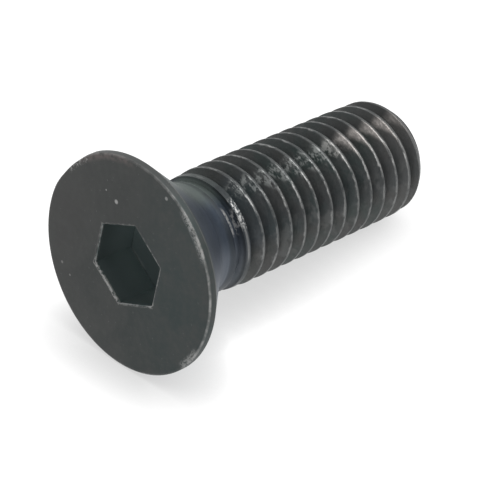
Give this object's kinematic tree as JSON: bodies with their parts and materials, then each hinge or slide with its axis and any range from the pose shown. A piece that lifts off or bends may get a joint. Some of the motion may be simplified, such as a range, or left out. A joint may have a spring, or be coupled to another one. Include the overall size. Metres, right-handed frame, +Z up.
{
  "type": "countersunk socket screw",
  "caption": "Countersunk screw with a flat head, a six-sided key socket, an 82 degree seat and a coarse thread almost to the head.",
  "frame": {"origin": "centre of the flat head face, on the screw's axis at the mouth of its socket", "axes": "+Z up with the screw lying as it rests on its rim and last crests; the shank runs along +X and its axis dips 8.10 degrees below it towards the tip"},
  "size_m": [0.0389, 0.0222, 0.0221],
  "materials": {
    "black_oxide_steel": "black oxide over alloy steel, oiled, worn bright on the crests and edges"
  },
  "bodies": {
    "root": {"screw": "black_oxide_steel"}
  },
  "joints": []
}
